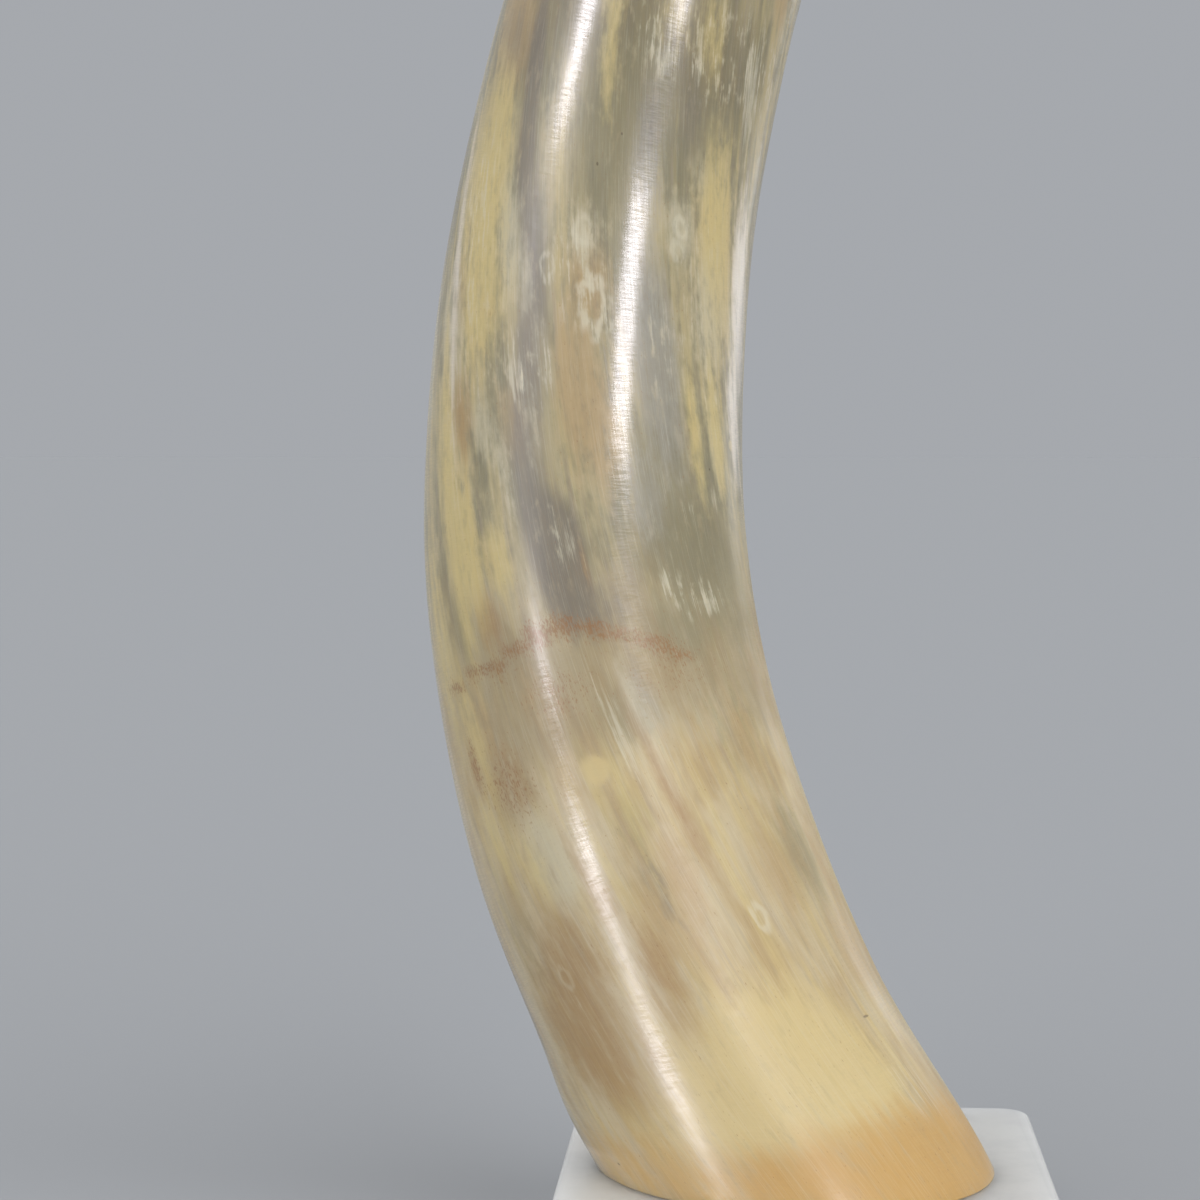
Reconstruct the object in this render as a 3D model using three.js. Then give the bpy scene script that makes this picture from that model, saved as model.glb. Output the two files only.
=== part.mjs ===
// A polished cattle horn that stands upright on a small block of milky acrylic.
// Units are millimetres and +Z is up. The origin is the middle of the block's underside.
// +X is to the right and +Y is away from someone who looks at the horn's front.
import * as THREE from "three";

// The block is a square slab with rounded corners and eased edges.
const BLOCK_SIDE = 100;
const BLOCK_HEIGHT = 20;
const BLOCK_CORNER_RADIUS = 6;
const BLOCK_EDGE_EASING = 1.2;
const STEPS_PER_CORNER = 8;
const STEPS_IN_EASING = 3;

// The horn's sections from the cut rim to the tip. Each is the centre of a section, its width
// from side to side and its depth from front to back, both square to the centreline.
// The lower half arches out to the left and back, and the upper half swings to the right and
// forward.
const SECTIONS = [
  { centre: [-2.6, 0, 20], width: 71.2, depth: 73 },
  { centre: [-19.4, 7.5, 50], width: 69, depth: 71 },
  { centre: [-35, 14.8, 88], width: 69.4, depth: 70.5 },
  { centre: [-44.8, 20.8, 130], width: 67.8, depth: 69 },
  { centre: [-46.8, 24.5, 172], width: 65.9, depth: 67 },
  { centre: [-43.2, 26, 213], width: 63.1, depth: 64 },
  { centre: [-34.8, 25.8, 254], width: 60.6, depth: 61.5 },
  { centre: [-21, 22.8, 296], width: 57.2, depth: 58 },
  { centre: [-4, 17, 338], width: 52, depth: 52.5 },
  { centre: [14, 8.5, 380], width: 45.5, depth: 46 },
  { centre: [31, -1.5, 423], width: 37.5, depth: 38 },
  { centre: [45, -11.5, 466], width: 28, depth: 28 },
  { centre: [53, -19.5, 507], width: 17.5, depth: 17.5 },
  { centre: [56, -24.5, 545], width: 6.5, depth: 6.5 },
];

// The rim is cut level to stand on the block. Above it, the sections turn square to the
// centreline over this length.
const LEVEL_CUT_BLEND = 70;
const TIP_ROUNDING = 4;

// The skin has a few long soft flats left by scraping. They wind round the horn with its
// fibres. Each has a count round the section, a height as a share of the radius and a start.
const FIBRE_TURN_PER_MM = THREE.MathUtils.degToRad(0.3);
const FLATS = [
  { count: 2, height: 0.019, start: 1.45 },
  { count: 3, height: 0.007, start: 5.5 },
  { count: 5, height: 0.004, start: 0.4 },
  { count: 8, height: 0.002, start: 2.2 },
];

// Low growth swells run round the horn. Each swell's height is a share of the radius, and its
// crest lies higher on one side than on the other, by the lean in radians.
const SWELL_HEIGHT = 0.003;
const SWELL_LENGTH = 58;
const SWELL_LEAN = 0.8;

// A horn is a hollow sheath: the hollow opens at the rim and narrows to a round end. With a
// fullness near one half the end is round, and with a larger one it is more pointed.
const HOLLOW_LENGTH = 210;
const RIM_WALL = 4.6;
const HOLLOW_FULLNESS = 0.62;

// How finely the horn is divided. The hollow's rings lie closer together at its round end.
const STEPS_AROUND = 40;
const STEPS_PER_SECTION = 5;
const STEPS_ROUND_TIP = 4;
const STEPS_IN_HOLLOW = 24;
const HOLLOW_STEP_GROWTH = 1.5;
const LENGTH_READINGS = 1000;

// A smooth line through the section centres, and the same line through their sizes.
const centreline = new THREE.CatmullRomCurve3(
  SECTIONS.map(({ centre }) => new THREE.Vector3(...centre)),
  false,
  "catmullrom",
);
const sizes = new THREE.CatmullRomCurve3(
  SECTIONS.map(({ width, depth }) => new THREE.Vector3(width, depth, 0)),
  false,
  "catmullrom",
);
centreline.arcLengthDivisions = LENGTH_READINGS;
const HORN_LENGTH = centreline.getLength();

// The share of the full radius that is left near the tip, so that the tip is a dome.
function tipShare(along) {
  const intoDome = Math.max(0, along - (HORN_LENGTH - TIP_ROUNDING)) / TIP_ROUNDING;
  return Math.sqrt(Math.max(0, 1 - intoDome ** 2));
}

// How much the soft flats and growth swells change the radius.
function relief(around, along) {
  const fibre = around + FIBRE_TURN_PER_MM * along;
  const flats = FLATS.reduce(
    (sum, { count, height, start }) => sum + height * Math.cos(count * fibre - start),
    0,
  );
  const swellTurn = (2 * Math.PI * along) / SWELL_LENGTH + SWELL_LEAN * Math.cos(around);
  const swell = SWELL_HEIGHT * Math.sin(swellTurn);
  return 1 + flats + swell;
}

// The point of the horn at an angle round it, a length along it and a share of the skin's radius.
function hornPoint(around, along, share) {
  const place = centreline.getUtoTmapping(Math.min(1, along / HORN_LENGTH));
  const centre = centreline.getPoint(place);
  const tangent = centreline.getTangent(place);
  const size = sizes.getPoint(place);
  const side = new THREE.Vector3(0, 1, 0).cross(tangent).normalize();
  const back = tangent.clone().cross(side);
  const radius = share * tipShare(along) * relief(around, along);
  const offset = side
    .multiplyScalar((size.x / 2) * Math.cos(around) * radius)
    .addScaledVector(back, (size.y / 2) * Math.sin(around) * radius);
  return levelled(centre, tangent, offset, along);
}

// Slides a point of a section along the horn, so that the section at the rim lies level.
function levelled(centre, tangent, offset, along) {
  const blend = THREE.MathUtils.smoothstep(along, 0, LEVEL_CUT_BLEND);
  const normal = new THREE.Vector3(0, 0, 1).lerp(tangent, blend).normalize();
  const slide = -offset.dot(normal) / tangent.dot(normal);
  return centre.clone().add(offset).addScaledVector(tangent, slide);
}

// The hollow's share of the skin's radius, which falls from the rim to nothing at its end.
function hollowShare(along) {
  const rimShare = 1 - RIM_WALL / (SECTIONS[0].width / 2);
  return rimShare * (1 - (along / HOLLOW_LENGTH) ** 2) ** HOLLOW_FULLNESS;
}

// The horn's profile as if it were straight: x is the share of the skin's radius and y the
// length along the horn. It starts on the axis at the hollow's round end, and runs down the
// hollow's wall, over the rim and up the skin to the tip.
function hornProfile() {
  const hollow = Array.from({ length: STEPS_IN_HOLLOW + 1 }, (_, step) => {
    const along = HOLLOW_LENGTH * (1 - (step / STEPS_IN_HOLLOW) ** HOLLOW_STEP_GROWTH);
    return new THREE.Vector2(hollowShare(along), along);
  });
  const skinSteps = STEPS_PER_SECTION * (SECTIONS.length - 1);
  const skin = Array.from({ length: skinSteps }, (_, step) => {
    const along = ((HORN_LENGTH - TIP_ROUNDING) * step) / (skinSteps - 1);
    return new THREE.Vector2(1, along);
  });
  const tip = Array.from({ length: STEPS_ROUND_TIP }, (_, step) => {
    const angle = (((step + 1) / STEPS_ROUND_TIP) * Math.PI) / 2;
    const along = HORN_LENGTH - TIP_ROUNDING + TIP_ROUNDING * Math.sin(angle);
    return new THREE.Vector2(step === STEPS_ROUND_TIP - 1 ? 0 : 1, along);
  });
  return [...hollow, ...skin, ...tip];
}

// The horn: a straight lathe turning of that profile, bent along the centreline.
function makeHorn() {
  const straight = new THREE.LatheGeometry(hornProfile(), STEPS_AROUND);
  const position = straight.getAttribute("position");
  for (let index = 0; index < position.count; index += 1) {
    const share = Math.hypot(position.getX(index), position.getZ(index));
    const around = Math.atan2(position.getX(index), position.getZ(index));
    const point = hornPoint(around, position.getY(index), share);
    position.setXYZ(index, point.x, point.y, point.z);
  }
  straight.computeVertexNormals();
  const material = new THREE.MeshStandardMaterial({ color: 0xc9b184, roughness: 0.25, metalness: 0 });
  const horn = new THREE.Mesh(straight, material);
  horn.name = "horn";
  return horn;
}

// The outline of the block's top: a square with its corners rounded by arcs.
function blockOutline() {
  const straightHalf = BLOCK_SIDE / 2 - BLOCK_CORNER_RADIUS;
  const outline = new THREE.Shape();
  for (let corner = 0; corner < 4; corner += 1) {
    const turn = (corner * Math.PI) / 2;
    const centre = new THREE.Vector2(straightHalf, straightHalf).rotateAround(new THREE.Vector2(), turn);
    outline.absarc(centre.x, centre.y, BLOCK_CORNER_RADIUS, turn, turn + Math.PI / 2, false);
  }
  outline.closePath();
  return outline;
}

// The block: the outline raised to its height, with its edges eased top and bottom.
function makeBlock() {
  const slab = new THREE.ExtrudeGeometry(blockOutline(), {
    depth: BLOCK_HEIGHT - 2 * BLOCK_EDGE_EASING,
    curveSegments: STEPS_PER_CORNER,
    bevelThickness: BLOCK_EDGE_EASING,
    bevelSize: BLOCK_EDGE_EASING,
    bevelOffset: -BLOCK_EDGE_EASING,
    bevelSegments: STEPS_IN_EASING,
  });
  const material = new THREE.MeshStandardMaterial({ color: 0xd9dbd8, roughness: 0.12, metalness: 0 });
  const block = new THREE.Mesh(slab, material);
  block.name = "stand_block";
  block.position.z = BLOCK_EDGE_EASING;
  return block;
}

const hornOnStand = new THREE.Group();
hornOnStand.add(makeBlock(), makeHorn());
export default hornOnStand;
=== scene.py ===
# A polished cattle horn that stands upright on a small block of milky acrylic.
# Units are metres and +Z is up. The origin is the middle of the block's underside.
import math

import bpy
import numpy as np
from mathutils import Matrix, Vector


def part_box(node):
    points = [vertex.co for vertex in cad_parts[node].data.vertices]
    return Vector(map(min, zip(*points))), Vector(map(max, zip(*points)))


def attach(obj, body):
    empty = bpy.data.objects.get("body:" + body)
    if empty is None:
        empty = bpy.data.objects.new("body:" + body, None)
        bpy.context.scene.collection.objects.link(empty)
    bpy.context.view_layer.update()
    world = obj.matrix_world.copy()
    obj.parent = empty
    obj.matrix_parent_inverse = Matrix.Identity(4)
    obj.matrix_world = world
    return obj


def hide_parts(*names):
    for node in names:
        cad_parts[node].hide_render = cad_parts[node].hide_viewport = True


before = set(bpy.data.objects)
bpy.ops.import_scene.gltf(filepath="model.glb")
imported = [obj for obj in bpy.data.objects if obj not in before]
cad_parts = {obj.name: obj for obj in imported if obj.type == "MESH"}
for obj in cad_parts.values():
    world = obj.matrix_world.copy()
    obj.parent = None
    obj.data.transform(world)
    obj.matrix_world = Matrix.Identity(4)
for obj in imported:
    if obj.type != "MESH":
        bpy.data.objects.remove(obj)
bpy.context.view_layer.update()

MM = 0.001

# The horn's sections from the cut rim to the tip, in millimetres: the centre of each, its width
# from side to side and its depth from front to back, both square to the centreline.
SECTIONS = [
    ((-2.6, 0, 20), 71.2, 73),
    ((-19.4, 7.5, 50), 69, 71),
    ((-35, 14.8, 88), 69.4, 70.5),
    ((-44.8, 20.8, 130), 67.8, 69),
    ((-46.8, 24.5, 172), 65.9, 67),
    ((-43.2, 26, 213), 63.1, 64),
    ((-34.8, 25.8, 254), 60.6, 61.5),
    ((-21, 22.8, 296), 57.2, 58),
    ((-4, 17, 338), 52, 52.5),
    ((14, 8.5, 380), 45.5, 46),
    ((31, -1.5, 423), 37.5, 38),
    ((45, -11.5, 466), 28, 28),
    ((53, -19.5, 507), 17.5, 17.5),
    ((56, -24.5, 545), 6.5, 6.5),
]
LEVEL_CUT_BLEND = 70 * MM
TIP_ROUNDING = 4 * MM

# The long soft flats left by scraping wind round the horn with its fibres, which turn this far in
# each metre. Each flat has a count round the section, a height as a share of the radius and a start.
FIBRE_TURN = math.radians(300)
FLATS = [(2, 0.019, 1.45), (3, 0.007, 5.5), (5, 0.004, 0.4), (8, 0.002, 2.2)]

# Low growth swells run round the horn, and each lies higher on one side than on the other.
SWELL_HEIGHT = 0.003
SWELL_LENGTH = 58 * MM
SWELL_LEAN = 0.8

# The hollow opens at the rim, which is eased here, and narrows to a round end.
HOLLOW_LENGTH = 210 * MM
RIM_WALL = 4.6 * MM
RIM_EASING = 0.6 * MM
HOLLOW_FULLNESS = 0.62

# How finely the horn is divided. The hollow's rings lie closer together at its round end.
STEPS_AROUND = 160
STEPS_IN_HOLLOW = 30
HOLLOW_STEP_GROWTH = 1.5
STEPS_IN_EASING = 3
SKIN_STEP = 2.4 * MM
STEPS_ROUND_TIP = 8
BLANK_RADIUS = SECTIONS[0][1] / 2 * MM

# The centreline is measured at this many places, and its direction is read between two places
# that lie this share of a section ahead and behind.
LENGTH_READINGS = 1001
DIRECTION_REACH = 1e-4

BLOCK_CORNER_RADIUS = 6 * MM
BLOCK_EDGE_EASING = 1.2 * MM
STEPS_PER_CORNER = 12
STEPS_PER_EASED_EDGE = 4

# Points closer than this are one point. Edges that bend less than these degrees are shaded smooth.
MERGE_DISTANCE = 0.001 * MM
HORN_SMOOTH_BELOW = 60
BLOCK_SMOOTH_BELOW = 35

# The tints of the horn and of its block, as they look on a screen.
STRAW = (219, 198, 136)
CREAM = (208, 190, 152)
HONEY = (190, 165, 120)
TAN = (192, 165, 122)
OLIVE = (146, 138, 108)
DRAB = (184, 170, 132)
ASH = (126, 118, 106)
DUSK = (128, 117, 90)
TAUPE = (158, 142, 110)
SLATE = (164, 159, 146)
MAUVE = (168, 152, 132)
BROWN = (170, 135, 88)
PALE = (208, 198, 168)
# The colour of a painted sheen: a pale reflection painted along both edges of the horn.
PAINTED_EDGE_SHEEN = (236, 226, 212)
MILK = (228, 220, 194)
AMBER = (203, 162, 97)
BUTTER = (217, 195, 140)
RUST = (156, 108, 62)
STAIN = (152, 118, 80)
SMOKE = (62, 53, 43)
PINPRICK = (92, 72, 50)
ACRYLIC = (203, 202, 198)
ACRYLIC_RUBBED = (197, 196, 193)

# How each painted tint is laid over the one before: its colour, how far its edges fray along the
# fibres, how softly they fade, and how much it covers at most.
PAINTS = [
    ("taupe", TAUPE, 0.3, 0.45, 0.6),
    ("dusk", DUSK, 0.3, 0.45, 0.75),
    ("butter", BUTTER, 0, 0.45, 0.9),
    ("olive", OLIVE, 0.3, 0.42, 0.75),
    ("tan", TAN, 0.2, 0.45, 0.8),
    ("slate", SLATE, 0.2, 0.45, 0.85),
    ("ash", ASH, 0.3, 0.42, 0.85),
    ("amber", AMBER, 0, 0.5, 0.95),
    ("brown", BROWN, 0.7, 0.4, 0.75),
    ("pale", PALE, 0.6, 0.45, 0.75),
    ("straw", STRAW, 0.25, 0.5, 0.85),
    # The last tint is a painted sheen, a pale reflection painted along both edges of the horn.
    ("painted_edge_sheen", PAINTED_EDGE_SHEEN, 0.6, 0.45, 0.85),
]

# A tint is thinned out where its paint is weaker than this.
PAINT_SURE = 0.12

# How strongly edges fray on the lower part of the horn, and how much more on the upper part.
FRAY_BELOW = 0.4
FRAY_ADDED_ABOVE = 0.7

# The darker upper part of the horn sets in between these two lengths along it.
UPPER_START = 100 * MM
UPPER_FULL = 145 * MM

# The grains of the horn: the width of each across the fibres and its length along them, both in
# millimetres, how many finer grains it holds, and a shift that keeps it unlike the others.
GRAINS = {
    "cloud": (9, 24, 3, 1),
    "broad": (3, 45, 2, 2),
    "mottle": (1.8, 4.5, 3.5, 3),
    "streak": (0.7, 11, 4, 4),
    "band": (1.6, 30, 3, 5),
    "line": (0.2, 10, 2, 6),
    "scratch": (3, 0.25, 2, 7),
    "speck": (0.35, 0.9, 2, 8),
    "blot": (2.2, 4, 1, 9),
}
GRAIN_ROUGHNESS = 0.6

# How strongly each grain moves the edges of the painted tints, of torn shreds, of milky flecks, of
# round spots, of whorls, and of the gloss where it is worn dull.
WANDER = {"broad": 0.8, "mottle": 0.85}
SHRED_FRAY = {"streak": 1.1}
FLECK_FRAY = {"streak": 2.2, "mottle": 0.8, "line": 0.7}
SPOT_FRAY = {"blot": 0.6}
WHORL_FRAY = {"blot": 1.3}
GLOSS_FRAY = {"scratch": 0.35, "line": 0.6}

# How much of that wander the upper clouds take, and how far it moves the start of the smoky tip.
CLOUD_WANDER = 0.3
SMOKE_WANDER = 80 * MM

# How strongly paint draws out flecks and specks from their grains.
MILK_PULL = 1.4
RUST_PULL = 0.3

# Thin layers of tint that lie as the grains do: the grain, where it begins to show and where it is
# full, how much it covers on the lower part of the horn and on the upper part, and its colour.
DEEP_LAYERS = [
    ("broad", 0.45, 0.7, 0.45, 0.45, STRAW),
    ("band", 0.5, 0.75, 0.35, 0.55, MAUVE),
]
TOP_LAYERS = [
    ("mottle", 0.5, 0.74, 0.1, 0.22, CREAM),
    ("mottle", 0.5, 0.26, 0.1, 0.15, ASH),
    ("line", 0.5, 0.72, 0.16, 0.16, MILK),
    ("line", 0.5, 0.3, 0.12, 0.12, BROWN),
]

# Where each other kind of mark begins to show and where it is full, on the value that makes it.
# The smoky tip's are metres along the horn, and those of spots, whorls and pinpricks are shares of
# their size.
EDGES = {
    "cloud": (0.36, 0.64),
    "torn patch": (0.3, 0.9),
    "torn shred": (0.52, 0.76),
    "torn gap": (0.46, 0.26),
    "fleck_and_sheen": (0.65, 1.35),
    "stain": (0.1, 1.1),
    "rusty speck": (0.66, 0.78),
    "round spot": (1.15, 0.6),
    "whorl inside": (0.4, 0.85),
    "whorl outside": (1.5, 0.95),
    "whorl break": (0.25, 0.5),
    "pinprick": (1, 0.5),
    "smoky tip": (0.38, 0.54),
    "gloss": (0.1, 0.95),
    "scored": (0.35, 0.6),
    "lined": (0.35, 0.65),
    "rubbed": (0.4, 0.7),
}

# How much some of them cover at most.
COVER = {
    "torn shred": 0.5,
    "torn gap": 0.07,
    "fleck_and_sheen": 0.5,
    "stain": 0.42,
    "rusty speck": 0.6,
    "pinprick": 0.6,
    "smoky tip": 0.9,
}

# The grain of the acrylic's rub marks, as the horn's grains are given.
RUB_GRAIN = (9, 9, 4, 1)

# Where each tint shows: degrees round the horn, millimetres along it from the rim, half its width,
# half its length and how strong it is. Minus 90 degrees is the front. Torn patches and milk break
# up into shreds and flecks, rust into specks, and haze is where the gloss is worn dull. The sheen
# marks along both edges, and two milk marks on the right edge, are painted reflection. A sharper
# mark fades faster past its edge.
MARK_SHARPNESS = 1.5
MARKS = {
    "butter": [
        (-112, 12, 10, 16, 0.5), (-66, 28, 22, 14, 1), (-90, 19, 11, 10, 0.9), (-50, 21, 13, 10, 0.9),
        (-119, 75, 5, 12, 0.5), (-142, 202, 9, 34, 0.6), (-138, 152, 6, 28, 0.5), (-38, 198, 9, 24, 0.85),
    ],
    "amber": [
        (-57, 4, 30, 9, 1), (-82, 5, 10, 7, 0.8), (-32, 7, 18, 8, 1), (-128, 6, 18, 10, 0.5),
        (-42, 13, 20, 5, 0.6), (-6, 8, 8, 8, 0.9),
    ],
    "taupe": [
        (-90, 106, 42, 14, 1), (-48, 112, 20, 12, 0.8), (-128, 108, 14, 16, 0.8), (-126, 88, 8, 8, 0.5),
        (-23, 96, 8, 10, 0.7), (-74, 124, 5, 8, 0.85),
    ],
    "dusk": [
        (-144, 237, 12, 14, 0.9), (-103, 252, 34, 16, 0.9), (-48, 134, 15, 13, 0.9), (-60, 240, 22, 14, 0.8),
        (-86, 226, 8, 20, 0.5), (-142, 238, 6, 8, 0.8),
    ],
    "olive": [
        (-94, 222, 6, 24, 0.9), (-79, 232, 8, 18, 0.9), (-81, 205, 4, 20, 0.8), (-59, 151, 6, 14, 0.8),
        (-45, 134, 13, 18, 0.9), (-27, 120, 9, 15, 0.6), (-56, 115, 8, 9, 0.7), (-86, 77, 5, 7, 0.4),
        (-80, 98, 6, 9, 0.5), (-44, 92, 8, 14, 0.4), (-140, 122, 7, 7, 0.6), (-54, 226, 6, 12, 0.7),
        (-27, 60, 6, 14, 0.6), (-140, 62, 6, 16, 0.4),
    ],
    "slate": [
        (-61, 174, 6, 26, 1), (-74, 216, 4, 14, 0.6), (-66, 146, 5, 12, 0.6),
    ],
    "ash": [
        (-127, 234, 3, 16, 0.9), (-122, 214, 3, 14, 0.9), (-110, 192, 4, 24, 0.8), (-108, 172, 4, 14, 0.7),
        (-106, 148, 5, 22, 0.8), (-96, 136, 6, 10, 1), (-60, 228, 5, 12, 0.5), (-94, 127, 6, 12, 1),
        (-86, 64, 3, 12, 0.35), (-84, 122, 8, 6, 0.5), (-96, 137, 5, 8, 0.8), (-142, 238, 6, 9, 0.5),
        (-147, 221, 5, 10, 0.7), (-76, 226, 4, 9, 0.4), (-74, 101, 4, 9, 0.4),
    ],
    "tan": [
        (-142, 240, 9, 14, 0.9), (-89, 192, 5, 12, 0.9), (-89, 168, 6, 20, 0.9), (-80, 158, 4, 14, 0.7),
        (-108, 106, 6, 8, 0.4), (-86, 54, 10, 9, 0.6), (-44, 58, 7, 9, 0.6), (-114, 162, 4, 10, 0.7),
        (2, 38, 9, 9, 0.5), (-88, 130, 2, 8, 0.8), (-135, 100, 8, 12, 0.5), (-76, 64, 4, 9, 0.8),
        (-20, 41, 7, 9, 0.7), (-17, 15, 7, 6, 0.6),
    ],
    "brown": [
        (-128, 38, 12, 20, 0.75), (-122, 56, 8, 12, 0.6), (-124, 122, 5, 7, 0.6), (-147, 186, 4, 9, 0.6),
        (-128, 184, 3, 4, 0.8), (-137, 162, 4, 9, 0.7), (-94, 50, 4, 8, 0.5), (-94, 41, 5, 9, 0.5),
        (-124, 91, 3, 7, 0.3), (-143, 94, 1.5, 7, 0.8), (-101, 106, 3, 5, 0.5), (-87, 132, 1.4, 6, 0.35),
        (-68, 71, 2, 16, 0.6), (-36, 36, 5, 7, 0.4), (-126, 92, 6, 8, 0.35), (-145, 172, 2, 12, 0.5),
        (-76, 92, 2, 18, 0.5), (-11, 7, 6, 5, 0.4),
    ],
    "pale": [
        (-124, 199, 4, 13, 0.9), (-150, 180, 6, 13, 0.8), (-56, 204, 3, 6, 0.9), (-40, 187, 6, 16, 0.8),
        (-126, 160, 4, 8, 0.7), (-106, 160, 2, 14, 0.4), (-119, 75, 4, 10, 0.8), (-92, 200, 5, 7, 0.7),
        (-113, 190, 2, 8, 0.6), (-52, 217, 3, 6, 0.5), (-104, 176, 2, 9, 0.5), (-34, 156, 2, 14, 0.7),
        (-116, 151, 2, 12, 0.5), (-60, 94, 12, 8, 0.25), (-117, 40, 1.5, 20, 0.35), (-125, 42, 1.2, 16, 0.3),
        (-78, 104, 1.5, 9, 0.6), (-73, 98, 1.5, 10, 0.35), (-118, 74, 5, 9, 0.8), (-57, 205, 4, 8, 0.6),
    ],
    "straw": [
        (-140, 208, 8, 24, 1), (-138, 222, 4, 10, 0.6), (-132, 186, 7, 13, 0.9), (-146, 156, 3, 26, 1),
        (-134, 137, 4, 14, 0.9), (-120, 134, 4, 8, 0.9), (-96, 238, 2, 15, 0.9), (-41, 206, 5, 24, 0.7),
        (-44, 158, 2, 16, 0.9), (-33, 160, 3, 18, 0.8), (-58, 247, 3, 11, 0.7), (-139, 100, 3, 14, 0.6),
        (-86, 80, 3, 10, 0.4), (-140, 81, 4, 10, 0.6), (-137, 128, 2, 20, 0.8), (-124, 74, 4, 8, 0.5),
        (-100, 250, 4, 6, 0.5),
    ],
    # Painted reflection: a pale sheen painted along the right edge and along the left edge of the horn.
    "painted_edge_sheen": [
        (-17, 190, 5, 22, 1), (-18, 164, 4, 15, 0.9), (-152, 190, 2, 40, 0.5),
    ],
    "torn": [
        (-138, 192, 11, 34, 0.8), (-38, 178, 10, 38, 0.6), (-48, 244, 30, 13, 1), (-92, 194, 9, 16, 0.9),
        (-108, 172, 6, 10, 0.9), (-48, 122, 9, 7, 0.9), (-60, 178, 6, 18, 0.6), (-95, 138, 4, 10, 0.7),
        (-112, 150, 6, 16, 0.5),
    ],
    "milk_and_edge_sheen": [
        (-76, 240, 4, 5, 0.8), (-61, 239, 3, 4, 0.7), (-94, 200, 4, 4, 0.8), (-105, 193, 2, 4, 0.7),
        (-102, 173, 2, 8, 0.7), (-114, 172, 3, 8, 0.8), (-63, 182, 3, 7, 0.5), (-57, 160, 2, 8, 0.5),
        (-48, 142, 2, 4, 0.7), (-34, 145, 2, 4, 0.7), (-43, 120, 5, 4, 0.8), (-59, 126, 2, 4, 0.8),
        # The two marks at -20 degrees lie on the right edge and paint a pale reflection there, not flecks of
        # the horn.
        (-92, 136, 2, 6, 0.8), (-20, 203, 3, 24, 0.6), (-20, 168, 3, 24, 0.6), (-122, 76, 3, 8, 0.4),
        (-84, 96, 2, 14, 0.8), (-27, 20, 7, 9, 0.6), (-34, 238, 4, 16, 0.9), (-67, 104, 2, 14, 0.3),
    ],
    "rust": [
        (-146, 111, 4, 2, 0.8), (-134, 113, 4, 2, 0.8), (-124, 113, 4, 2, 0.9), (-115, 116, 4, 2, 1),
        (-106, 118, 4, 3, 1), (-97, 119, 4, 3, 1), (-88, 118, 4, 2, 0.9), (-80, 116, 4, 2, 0.9),
        (-70, 114, 4, 2, 0.8), (-63, 112, 4, 2, 0.8), (-57, 109, 4, 2, 0.7), (-102, 106, 9, 6, 0.4),
        (-127, 90, 7, 8, 0.5), (-142, 96, 1.5, 6, 0.9), (-60, 105, 12, 6, 0.3),
    ],
    "haze": [
        (-77, 231, 9, 24, 1), (-109, 204, 10, 21, 0.85), (-77, 127, 12, 46, 1), (-72, 80, 9, 30, 1),
        (-68, 50, 10, 26, 1), (-107, 170, 9, 34, 0.9), (-108, 95, 9, 20, 0.75), (-12, 12, 12, 16, 0.8),
        (-62, 6, 14, 12, 1), (-2, 112, 16, 30, 1), (4, 60, 18, 42, 1), (-18, 246, 9, 26, 0.7),
    ],
}

# The sides that are not at the front, and the length above it, carry marks of the same kinds,
# strewn by chance: how many of each are tried, and the range of their half widths and half lengths.
STREWN = {
    "tan": (26, 5, 12, 10, 26), "olive": (26, 4, 10, 12, 30), "ash": (18, 3, 7, 12, 30),
    "brown": (20, 2, 6, 6, 20), "straw": (34, 3, 8, 10, 28), "pale": (26, 2, 7, 8, 24),
    "torn": (16, 6, 12, 12, 30), "milk_and_edge_sheen": (26, 2, 5, 4, 12), "slate": (8, 5, 9, 14, 30),
}

# The front, which they keep clear of: from and to so many degrees, and up to so many millimetres.
STREWN_FRONT = (-155, 10)
STREWN_FRONT_END = 262
STREWN_SEED = 11
STREWN_STRENGTH = (0.6, 1)

# Pale whorls: degrees, millimetres along, half width, half length and strength.
WHORLS = [
    (-93, 201, 2.2, 2.8, 0.35), (-86, 186, 3, 5.6, 0.6), (-57, 205, 1.6, 2, 0.45), (-57, 200, 1.5, 2, 0.35),
    (-55, 51, 1.7, 2.3, 0.4), (-105, 193, 1.5, 2.6, 0.4), (-128, 52, 1.2, 2.4, 0.2),
]

# Round pale yellow spots: degrees, millimetres along, half width, half length and strength.
ROUND_SPOTS = [(-94, 89, 3.3, 3.4, 0.8), (-22, 158, 1.2, 1.4, 0.5)]

# Dark pinpricks: degrees, millimetres along, half width and half length.
PINPRICKS = [
    (-92, 215, 0.35, 0.5), (-85, 222, 0.3, 0.4), (-76, 198, 0.35, 0.4), (-37, 152, 0.3, 0.4),
    (-139, 6, 0.4, 0.4), (-30, 31, 1.2, 0.25),
]

# The camera stands in front of the horn's lower half and looks a little down and to the left.
CAMERA_PLACE = (-0.0067, -0.55, 0.170)
CAMERA_TILT = math.radians(86.5)
CAMERA_TURN = math.radians(3.7)
CAMERA_LENS = 81
CAMERA_SENSOR = 36
CAMERA_NEAR = 10 * MM

# Wide soft lights: name, degrees round from the front to the right, degrees up and strength.
SOFT_LIGHTS = [("key", 50, 35, 1.7), ("fill", -55, 35, 1.0), ("back", -150, 50, 1.3)]
SOFT_LIGHT_WIDTH = math.radians(60)

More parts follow.
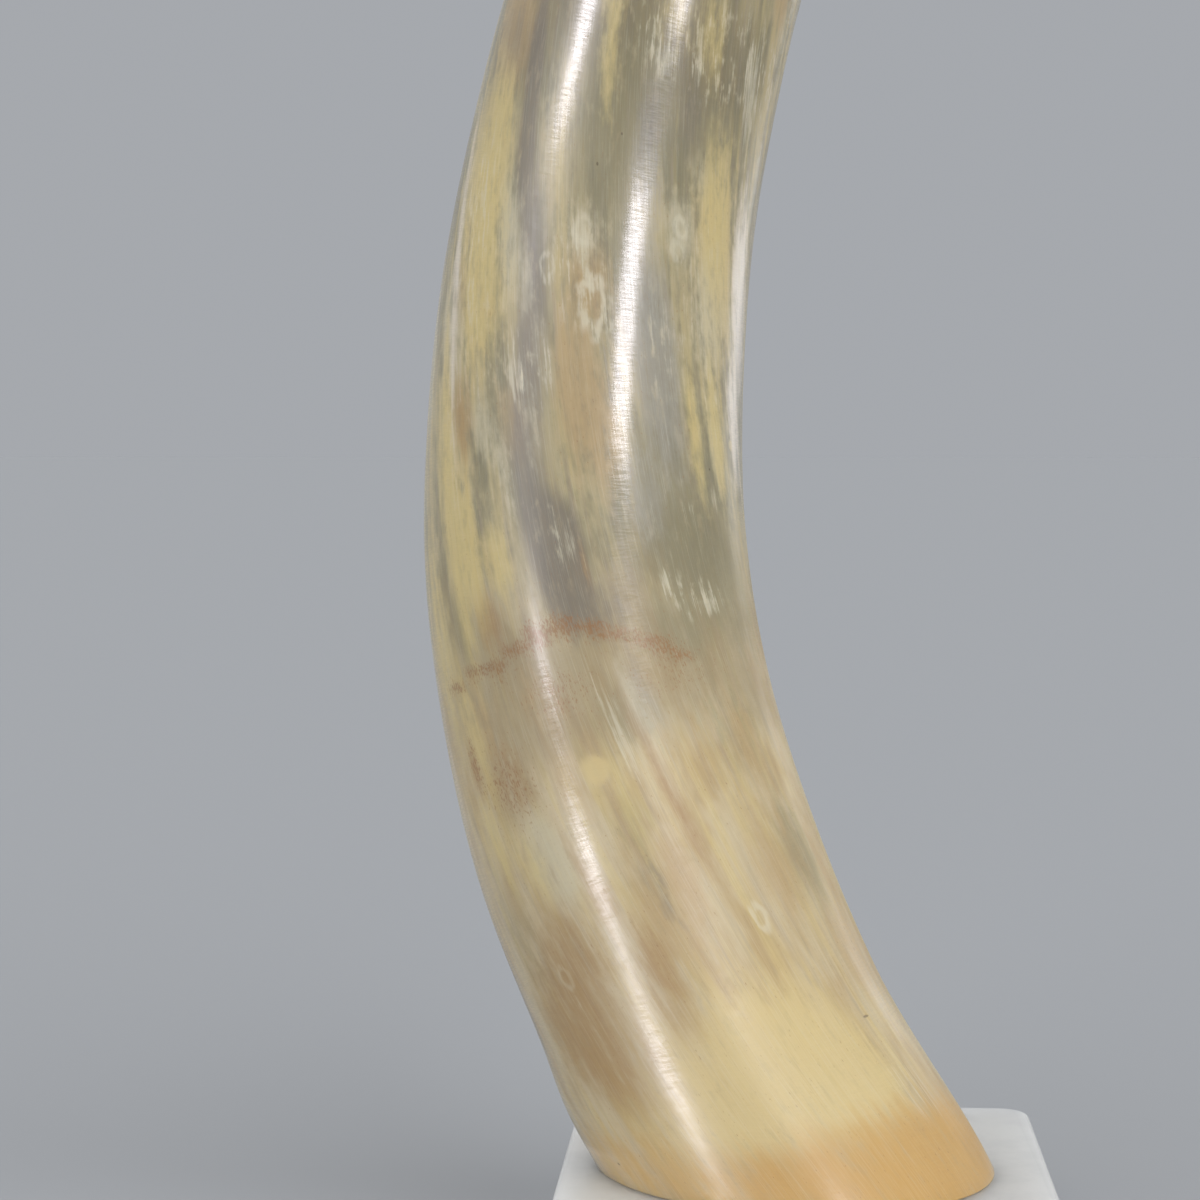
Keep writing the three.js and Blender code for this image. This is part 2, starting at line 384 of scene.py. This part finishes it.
# Panels that show only as gleams: name, place, aim, width, height, how bright each looks, colour.
COOL = (0.97, 0.93, 1)
WARM = (1, 0.96, 0.93)
GLEAMS = [
    ("upper left gleam", (-0.65, -0.57, 0.655), (-0.04, 0, 0.23), 0.14, 0.38, 38, COOL),
    ("lower left gleam", (-0.52, -0.67, 0.10), (-0.04, 0, 0.08), 0.1, 0.22, 23, COOL),
    ("right gleam", (0.33, -0.78, 0.30), (-0.04, 0, 0.23), 0.18, 0.10, 40, COOL),
    ("right edge gleam", (0.54, 0.65, 0.23), (-0.04, 0, 0.2), 0.3, 0.1, 1.25, WARM),
]

# The floor lies just below the block's underside. Its colour and the studio's are shares of light,
# and its size is in metres.
FLOOR_SIZE = 40
FLOOR_DROP = 0.2 * MM
FLOOR_COLOUR = (0.319, 0.328, 0.341, 1)
STUDIO_COLOUR = (0.38, 0.395, 0.42, 1)


def start_with(primitive, **settings):
    """Adds a primitive with nothing else selected and opens it for editing."""
    bpy.ops.object.select_all(action="DESELECT")
    primitive(**settings)
    piece = bpy.context.object
    bpy.ops.object.mode_set(mode="EDIT")
    return piece


def close_up(piece, name, smooth_below):
    """Merges doubled points, turns the faces outwards and ends the editing."""
    bpy.ops.mesh.select_all(action="SELECT")
    bpy.ops.mesh.remove_doubles(threshold=MERGE_DISTANCE)
    bpy.ops.mesh.normals_make_consistent(inside=False)
    bpy.ops.object.mode_set(mode="OBJECT")
    bpy.ops.object.transform_apply(location=True, rotation=True, scale=True)
    bpy.ops.object.shade_smooth_by_angle(angle=math.radians(smooth_below))
    piece.name = name
    piece.data.name = name


def smooth_line(points, places):
    """A smooth line through the points, read at places that count in points from the first."""
    ends = [2 * points[0] - points[1], 2 * points[-1] - points[-2]]
    points = np.vstack([ends[0], points, ends[1]])
    start = np.clip(np.floor(places).astype(int), 0, len(points) - 4)
    t = (places - start)[:, None]
    a, b, c, d = (points[start + step] for step in range(4))
    return 0.5 * (2 * b + (c - a) * t + (2 * a - 5 * b + 4 * c - d) * t**2 + (3 * b - a - 3 * c + d) * t**3)


# The horn's centreline and its sizes, and how far along the centreline each place on it lies.
CENTRES = np.array([centre for centre, _, _ in SECTIONS]) * MM
SIZES = np.array([(width, depth) for _, width, depth in SECTIONS]) * MM
PLACES = np.linspace(0, len(SECTIONS) - 1, LENGTH_READINGS)
STRETCHES = np.linalg.norm(np.diff(smooth_line(CENTRES, PLACES), axis=0), axis=1)
LENGTHS = np.concatenate([[0], np.cumsum(STRETCHES)])
HORN_LENGTH = LENGTHS[-1]


def unit(vectors):
    return vectors / np.linalg.norm(vectors, axis=1)[:, None]


def dot(first, second):
    return (first * second).sum(axis=1)[:, None]


def relief(around, along):
    """How much the soft flats and growth swells change the radius."""
    fibre = around + FIBRE_TURN * along
    flats = sum(height * np.cos(count * fibre - start) for count, height, start in FLATS)
    swell = SWELL_HEIGHT * np.sin(2 * math.pi * along / SWELL_LENGTH + SWELL_LEAN * np.cos(around))
    return 1 + flats + swell


def bent(around, along, share):
    """Points of the horn at angles round it, lengths along it and shares of the skin's radius."""
    place = np.interp(along, LENGTHS, PLACES)
    centre = smooth_line(CENTRES, place)
    ahead = smooth_line(CENTRES, place + DIRECTION_REACH)
    behind = smooth_line(CENTRES, place - DIRECTION_REACH)
    tangent = unit(ahead - behind)
    side = unit(np.cross([0, 1, 0], tangent))
    back = np.cross(tangent, side)
    half = smooth_line(SIZES, place) / 2 * (share * relief(around, along))[:, None]
    offset = side * half[:, :1] * np.cos(around)[:, None] + back * half[:, 1:] * np.sin(around)[:, None]
    blend = np.clip(along / LEVEL_CUT_BLEND, 0, 1)
    blend = (blend**2 * (3 - 2 * blend))[:, None]
    normal = unit(np.array([0, 0, 1]) * (1 - blend) + tangent * blend)
    slide = -dot(offset, normal) / dot(tangent, normal)
    return centre + offset + tangent * slide


def blank_outline():
    """
    The outline of the horn as if it were straight. It starts on the axis at the hollow's round end,
    and runs down the hollow's wall, over the eased rim and up the skin to the rounded tip.
    """
    rim_share = 1 - RIM_WALL / BLANK_RADIUS
    outline = []
    for step in range(STEPS_IN_HOLLOW + 1):
        along = HOLLOW_LENGTH * (1 - (step / STEPS_IN_HOLLOW) ** HOLLOW_STEP_GROWTH)
        share = rim_share * (1 - (along / HOLLOW_LENGTH) ** 2) ** HOLLOW_FULLNESS
        outline.append((share * BLANK_RADIUS, along))
    for step in range(STEPS_IN_EASING + 1):
        turn = step / STEPS_IN_EASING * math.pi / 2
        inset = RIM_EASING * (1 - math.sin(turn))
        outline.append((BLANK_RADIUS - inset, RIM_EASING * (1 - math.cos(turn))))
    skin_end = HORN_LENGTH - TIP_ROUNDING
    skin_steps = round(skin_end / SKIN_STEP)
    for step in range(1, skin_steps):
        outline.append((BLANK_RADIUS, RIM_EASING + (skin_end - RIM_EASING) * step / skin_steps))
    for step in range(STEPS_ROUND_TIP + 1):
        turn = step / STEPS_ROUND_TIP * math.pi / 2
        outline.append((BLANK_RADIUS * math.cos(turn), skin_end + TIP_ROUNDING * math.sin(turn)))
    return [Vector((max(0, x), 0, z)) for x, z in outline]


def make_horn():
    """Spins the blank's outline into a straight horn, paints its marks, and bends it."""
    outline = blank_outline()
    horn = start_with(bpy.ops.mesh.primitive_plane_add, size=MM, location=outline[0])
    bpy.ops.mesh.merge(type="CENTER")
    for here, there in zip(outline, outline[1:]):
        step = {"value": there - here}
        bpy.ops.mesh.extrude_vertices_move(TRANSFORM_OT_translate=step)
    bpy.ops.mesh.select_all(action="SELECT")
    bpy.ops.mesh.spin(steps=STEPS_AROUND, angle=2 * math.pi, center=(0, 0, 0), axis=(0, 0, 1))
    close_up(horn, "horn_polished", HORN_SMOOTH_BELOW)
    blank = np.empty(len(horn.data.vertices) * 3)
    horn.data.vertices.foreach_get("co", blank)
    x, y, along = blank.reshape(-1, 3).T
    around = np.arctan2(y, x)
    share = np.hypot(x, y) / BLANK_RADIUS
    paint(horn, around, along)
    points = bent(around, along, share)
    horn.data.vertices.foreach_set("co", points.ravel())
    horn.data.update()
    return horn


def strew():
    """Adds marks by chance to the sides and the length of the horn that are not at the front."""
    chance = np.random.RandomState(STREWN_SEED)
    for name, (count, thin, wide, short, tall) in STREWN.items():
        for _ in range(count):
            degrees = chance.uniform(-180, 180)
            millimetres = chance.uniform(0, HORN_LENGTH / MM)
            size = chance.uniform(thin, wide), chance.uniform(short, tall)
            at_front = STREWN_FRONT[0] < degrees < STREWN_FRONT[1] and millimetres < STREWN_FRONT_END
            if not at_front:
                strength = chance.uniform(*STREWN_STRENGTH)
                MARKS[name].append((degrees, millimetres, *size, strength))


def paint(horn, around, along):
    """Stores how the fibres run and how strongly each tint shows, point by point."""
    fibre = around + FIBRE_TURN * along
    lie = np.column_stack([BLANK_RADIUS * np.cos(fibre), BLANK_RADIUS * np.sin(fibre), along])
    layer = horn.data.attributes.new("fibre", "FLOAT_VECTOR", "POINT")
    layer.data.foreach_set("vector", lie.ravel())
    for name, marks in MARKS.items():
        clear = np.ones(len(along))
        for degrees, millimetres, half_width, half_length, strength in marks:
            start = math.radians(degrees) + FIBRE_TURN * millimetres * MM
            across = (fibre - start + math.pi) % (2 * math.pi) - math.pi
            spread = (across * BLANK_RADIUS / (half_width * MM)) ** 2
            spread += ((along / MM - millimetres) / half_length) ** 2
            clear *= 1 - strength * np.exp(-(spread**MARK_SHARPNESS))
        layer = horn.data.attributes.new(name, "FLOAT", "POINT")
        layer.data.foreach_set("value", 1 - clear)


def make_block():
    """The block: a slab with its upright edges rounded and its level edges eased."""
    low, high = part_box("stand_block")
    block = start_with(bpy.ops.mesh.primitive_cube_add, size=1, location=(low + high) / 2)
    bpy.ops.transform.resize(value=high - low)
    bpy.ops.mesh.select_mode(type="EDGE")
    choose_edges(block, lambda a, b: abs(a.z - b.z) > MM)
    bpy.ops.mesh.bevel(offset=BLOCK_CORNER_RADIUS, segments=STEPS_PER_CORNER, affect="EDGES")
    choose_edges(block, lambda a, b: abs(a.z - b.z) < MM)
    bpy.ops.mesh.bevel(offset=BLOCK_EDGE_EASING, segments=STEPS_PER_EASED_EDGE, affect="EDGES")
    close_up(block, "block_milky_acrylic", BLOCK_SMOOTH_BELOW)
    return block


def choose_edges(piece, wanted):
    """Selects the edges whose two ends answer to the test, and nothing else."""
    bpy.ops.mesh.select_all(action="DESELECT")
    bpy.ops.object.mode_set(mode="OBJECT")
    points = piece.data.vertices
    for edge in piece.data.edges:
        edge.select = wanted(*(points[index].co for index in edge.vertices))
    bpy.ops.object.mode_set(mode="EDIT")


def place_camera():
    bpy.ops.object.camera_add(location=CAMERA_PLACE, rotation=(CAMERA_TILT, 0, CAMERA_TURN))
    camera = bpy.context.object
    camera.data.lens = CAMERA_LENS
    camera.data.sensor_width = CAMERA_SENSOR
    camera.data.clip_start = CAMERA_NEAR
    bpy.context.scene.camera = camera


def place_panel(name, place, aim, width, height, brightness, colour):
    """A soft panel that faces its aim and shows as a gleam. Its brightness is how bright it looks."""
    turn = (Vector(aim) - Vector(place)).to_track_quat("-Z", "Y").to_euler()
    bpy.ops.object.light_add(type="AREA", location=place, rotation=turn)
    panel = bpy.context.object
    panel.name = name
    panel.data.shape = "RECTANGLE"
    panel.data.size = width
    panel.data.size_y = height
    panel.data.energy = brightness * math.pi * width * height
    panel.data.color = colour
    panel.visible_camera = False
    panel.visible_diffuse = False


def place_soft_light(name, azimuth, elevation, strength):
    """Wide soft light that makes no gleam, from so many degrees round to the right and up."""
    turn = (math.radians(90 - elevation), 0, math.radians(azimuth))
    bpy.ops.object.light_add(type="SUN", rotation=turn)
    light = bpy.context.object
    light.name = name
    light.data.energy = strength
    light.data.angle = SOFT_LIGHT_WIDTH
    light.visible_glossy = False


class Value:
    """A number or vector that varies over a surface, so that sums on numbers are Python sums."""

    def __init__(self, finish, socket):
        self.finish = finish
        self.socket = socket

    def __add__(self, other):
        return self.finish.maths("ADD", self, other)

    def __sub__(self, other):
        return self.finish.maths("SUBTRACT", self, other)

    def __rsub__(self, other):
        return self.finish.maths("SUBTRACT", other, self)

    def __mul__(self, other):
        return self.finish.maths("MULTIPLY", self, other)

    __radd__ = __add__
    __rmul__ = __mul__


class Finish:
    """One finish of a surface, put together from nodes."""

    def __init__(self, name):
        self.material = bpy.data.materials.new(name)
        self.material.use_nodes = True
        self.tree = self.material.node_tree
        self.tree.nodes.clear()

    def node(self, kind, settings=(), values=(), output=0):
        """Adds a node, sets it, gives its sockets their values or links, and returns an output."""
        made = self.tree.nodes.new(kind)
        for setting, choice in dict(settings).items():
            setattr(made, setting, choice)
        for name, value in dict(values).items():
            if isinstance(value, Value):
                self.tree.links.new(value.socket, made.inputs[name])
            else:
                made.inputs[name].default_value = value
        return Value(self, made.outputs[output]) if made.outputs else None

    def maths(self, operation, first, second):
        return self.node("ShaderNodeMath", {"operation": operation}, {0: first, 1: second})

    def painted(self, name):
        """A tint's strength, as painted on the piece."""
        return self.node("ShaderNodeAttribute", {"attribute_name": name}, output="Fac")

    def step(self, value, start, full):
        """Nothing at the start and all at the full value, with a soft change between."""
        settings = {"interpolation_type": "SMOOTHSTEP"}
        values = {"Value": value, "From Min": start, "From Max": full}
        return self.node("ShaderNodeMapRange", settings, values)

    def mix(self, share, under, over):
        """Lays one colour over another."""
        values = {"Factor": share, 6: under, 7: over}
        return self.node("ShaderNodeMix", {"data_type": "RGBA"}, values, output=2)

    def grain(self, place, width, length, detail, shift):
        """Noise drawn out along the third axis, by its width and length in millimetres."""
        scale = (1 / (width * MM), 1 / (width * MM), 1 / (length * MM))
        values = {0: place, 1: scale, 2: (shift, 2.3 * shift, 3.1 * shift)}
        drawn = self.node("ShaderNodeVectorMath", {"operation": "MULTIPLY_ADD"}, values)
        values = {"Vector": drawn, "Scale": 1, "Detail": detail, "Roughness": GRAIN_ROUGHNESS}
        return self.node("ShaderNodeTexNoise", (), values)

    def distance(self, fibre, degrees, millimetres, half_width, half_length):
        """How far a point lies from a mark's middle, where 1 is the mark's edge."""
        turn = math.radians(degrees) + FIBRE_TURN * millimetres * MM
        middle = (BLANK_RADIUS * math.cos(turn), BLANK_RADIUS * math.sin(turn), millimetres * MM)
        size = (half_width * MM, half_width * MM, half_length * MM)
        away = self.node("ShaderNodeVectorMath", {"operation": "SUBTRACT"}, {0: fibre, 1: middle})
        share = self.node("ShaderNodeVectorMath", {"operation": "DIVIDE"}, {0: away, 1: size})
        return self.node("ShaderNodeVectorMath", {"operation": "LENGTH"}, {0: share}, output="Value")

    def surface(self, **values):
        shader = self.node("ShaderNodeBsdfPrincipled", (), values)
        self.node("ShaderNodeOutputMaterial", (), {"Surface": shader})
        return self.material


def tint(screen):
    """A colour as it looks on a screen, from 0 to 255, turned into shares of light."""
    shares = [level / 255 for level in screen]
    return (*(((share + 0.055) / 1.055) ** 2.4 for share in shares), 1)


def swing(grain, amounts):
    """How far the grains together stray from their middle, each times its amount."""
    return sum((grain[name] - 0.5) * amount for name, amount in amounts.items())


def lay(finish, kind, value, colour, over):
    """Lays one kind of mark over a colour, where its value is past the kind's edge."""
    share = finish.step(value, *EDGES[kind]) * COVER[kind]
    return finish.mix(share, colour, tint(over))


def lay_grains(finish, grain, upper, layers, colour):
    """Lays on thin layers of tint that lie as the grains do."""
    for name, start, full, below, above, over in layers:
        share = finish.step(grain[name], start, full) * (below + (above - below) * upper)
        colour = finish.mix(share, colour, tint(over))
    return colour


def horn_ground(finish, grain, wander, upper):
    """The horn's cloudy ground: honey and cream below, and olive and drab above."""
    clouds = finish.step(grain["cloud"], *EDGES["cloud"])
    lower_colour = finish.mix(clouds, tint(HONEY), tint(CREAM))
    clouds = finish.step(grain["cloud"] + wander * CLOUD_WANDER, *EDGES["cloud"])
    upper_colour = finish.mix(clouds, tint(OLIVE), tint(DRAB))
    return finish.mix(upper, lower_colour, upper_colour)


def lay_paints(finish, grain, wander, upper, colour):
    """Lays the painted tints, the last a painted edge sheen, with edges that wander and fray along the
    fibres.
    """
    fray = (grain["streak"] - 0.5) * (FRAY_BELOW + FRAY_ADDED_ABOVE * upper)
    for name, over, frayed, softness, most in PAINTS:
        strength = finish.painted(name)
        edge = finish.step(strength + wander + fray * frayed, 0.5 - softness, 0.5 + softness)
        share = edge * finish.step(strength, 0, PAINT_SURE) * most
        colour = finish.mix(share, colour, tint(over))
    return colour


def lay_flecks(finish, grain, ragged, colour):
    """Torn patches of pale shreds and darker gaps, and milky flecks drawn out along the fibres; those on the
    right edge are a painted reflection.
    """
    patch = finish.step(finish.painted("torn") + (grain["cloud"] - 0.5), *EDGES["torn patch"])
    shreds = patch * finish.step(ragged, *EDGES["torn shred"]) * COVER["torn shred"]
    colour = finish.mix(shreds, colour, tint(MILK))
    gaps = patch * finish.step(ragged, *EDGES["torn gap"]) * COVER["torn gap"]
    colour = finish.mix(gaps, colour, tint(ASH))
    # Milky flecks, and on the right edge a painted reflection.
    fleck_and_sheen = finish.painted("milk_and_edge_sheen") * MILK_PULL + swing(grain, FLECK_FRAY)
    return lay(finish, "fleck_and_sheen", fleck_and_sheen, colour, MILK)


def lay_rust(finish, grain, wander, colour):
    """Warm stains with fine rusty specks in them."""
    rust = finish.painted("rust")
    colour = lay(finish, "stain", rust + wander, colour, STAIN)
    return lay(finish, "rusty speck", rust * RUST_PULL + grain["speck"], colour, RUST)


def lay_small_marks(finish, grain, ragged, fibre, colour):
    """Round yellow spots, pale whorls broken here and there, and dark pinpricks."""
    uneven = swing(grain, SPOT_FRAY)
    for *mark, strength in ROUND_SPOTS:
        spot = finish.step(finish.distance(fibre, *mark) + uneven, *EDGES["round spot"])
        colour = finish.mix(spot * strength, colour, tint(BUTTER))
    uneven = swing(grain, WHORL_FRAY)
    whole = finish.step(ragged, *EDGES["whorl break"])
    for *mark, strength in WHORLS:
        loop = finish.distance(fibre, *mark) + uneven
        ring = finish.step(loop, *EDGES["whorl inside"]) * finish.step(loop, *EDGES["whorl outside"])
        colour = finish.mix(ring * whole * strength, colour, tint(MILK))
    for mark in PINPRICKS:
        colour = lay(finish, "pinprick", finish.distance(fibre, *mark), colour, PINPRICK)
    return colour


def polished(finish, grain, colour):
    """A clear gloss over the horn, with fine lines and scratches, worn dull where haze is painted."""
    scored = finish.step(grain["scratch"], *EDGES["scored"])
    lined = finish.step(grain["line"], *EDGES["lined"])
    gloss = finish.step(1 - finish.painted("haze") + swing(grain, GLOSS_FRAY), *EDGES["gloss"])
    bump = finish.node("ShaderNodeBump", (), {
        "Height": grain["line"] * 0.6 + grain["scratch"] * 0.1, "Strength": 0.4, "Distance": 0.06 * MM,
    })
    return finish.surface(**{
        "Base Color": colour, "Roughness": 0.42 - 0.08 * scored, "Normal": bump, "IOR": 1.45,
        "Coat Weight": gloss * (0.35 + 0.4 * scored + 0.25 * lined), "Coat Roughness": 0.19, "Coat IOR": 1.5,
        "Subsurface Weight": 0.15, "Subsurface Radius": (0.0025, 0.0018, 0.001), "Subsurface Scale": 1,
    })


def horn_finish():
    """Polished horn: pale translucent keratin with streaks, clouds and milky flecks below its gloss, and a
    sheen painted on its edges.
    """
    finish = Finish("polished_horn")
    fibre = finish.node("ShaderNodeAttribute", {"attribute_name": "fibre"}, output="Vector")
    along = finish.node("ShaderNodeSeparateXYZ", (), {0: fibre}, output="Z")
    grain = {name: finish.grain(fibre, *form) for name, form in GRAINS.items()}
    upper = finish.step(along, UPPER_START, UPPER_FULL)
    wander = swing(grain, WANDER)
    ragged = grain["mottle"] + swing(grain, SHRED_FRAY)
    colour = horn_ground(finish, grain, wander, upper)
    colour = lay_grains(finish, grain, upper, DEEP_LAYERS, colour)
    colour = lay_paints(finish, grain, wander, upper, colour)
    colour = lay_flecks(finish, grain, ragged, colour)
    colour = lay_rust(finish, grain, wander, colour)
    colour = lay_grains(finish, grain, upper, TOP_LAYERS, colour)
    colour = lay_small_marks(finish, grain, ragged, fibre, colour)
    colour = lay(finish, "smoky tip", along + wander * SMOKE_WANDER, colour, SMOKE)
    return polished(finish, grain, colour)


def acrylic_finish():
    """Milky acrylic, polished, with faint rub marks."""
    finish = Finish("milky_acrylic")
    place = finish.node("ShaderNodeTexCoord", output="Object")
    rub = finish.grain(place, *RUB_GRAIN)
    rubbed = finish.step(rub, *EDGES["rubbed"])
    colour = finish.mix(rubbed, tint(ACRYLIC), tint(ACRYLIC_RUBBED))
    return finish.surface(**{
        "Base Color": colour, "Roughness": 0.1 + 0.15 * rub, "IOR": 1.49,
        "Subsurface Weight": 1, "Subsurface Radius": (0.03, 0.03, 0.03), "Subsurface Scale": 1,
    })


def floor_finish():
    """A pale dull floor that shows no reflections."""
    finish = Finish("pale_floor")
    return finish.surface(**{"Base Color": FLOOR_COLOUR, "Specular IOR Level": 0})


def lay_floor():
    bpy.ops.object.select_all(action="DESELECT")
    bpy.ops.mesh.primitive_plane_add(size=FLOOR_SIZE, location=(0, 0, -FLOOR_DROP))
    floor = bpy.context.object
    floor.name = "floor"
    floor.data.materials.append(floor_finish())


def light_studio():
    """A soft grey studio round the horn, with its soft lights and its gleams."""
    world = bpy.data.worlds.new("studio")
    bpy.context.scene.world = world
    world.use_nodes = True
    world.node_tree.nodes["Background"].inputs["Color"].default_value = STUDIO_COLOUR
    bpy.context.scene.view_settings.view_transform = "Standard"
    for light in SOFT_LIGHTS:
        place_soft_light(*light)
    for panel in GLEAMS:
        place_panel(*panel)


place_camera()
strew()
horn = make_horn()
block = make_block()
horn.data.materials.append(horn_finish())
block.data.materials.append(acrylic_finish())
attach(horn, "root")
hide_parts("horn")
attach(block, "root")
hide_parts("stand_block")
lay_floor()
light_studio()
